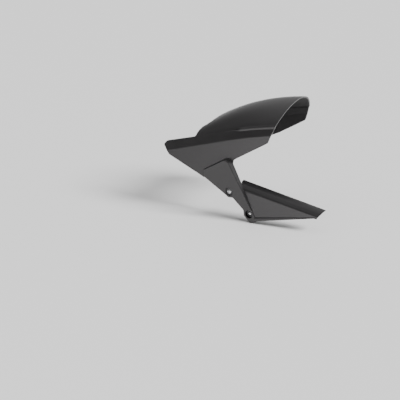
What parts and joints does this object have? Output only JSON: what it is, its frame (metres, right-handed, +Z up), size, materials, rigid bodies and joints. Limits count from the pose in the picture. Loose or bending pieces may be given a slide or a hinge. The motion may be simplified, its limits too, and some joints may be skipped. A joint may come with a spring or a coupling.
{
  "type": "motorcycle rear hugger",
  "caption": "Moulded rear tyre hugger with a domed crown, creased shoulders, a raised screw-on leg and a tapered chain guard arm, with its grommets, collars and screws.",
  "frame": {"origin": "midway between the two chain-side studs, on the plane where their collars meet the swingarm", "axes": "+X to the rear of the bike, +Y across the bike away from the chain side, +Z up"},
  "size_m": [0.3848, 0.2292, 0.2539],
  "materials": {
    "moulded_plastic": "fine-grained matt charcoal ABS",
    "grommet_rubber": "matt black rubber",
    "collar_steel": "black-zinc-plated turned steel",
    "screw_steel": "bright stainless steel"
  },
  "bodies": {
    "root": {"hugger_moulding": "moulded_plastic", "rubber_grommets": "grommet_rubber", "spacer_collars": "collar_steel", "mounting_screws": "screw_steel"}
  },
  "joints": []
}
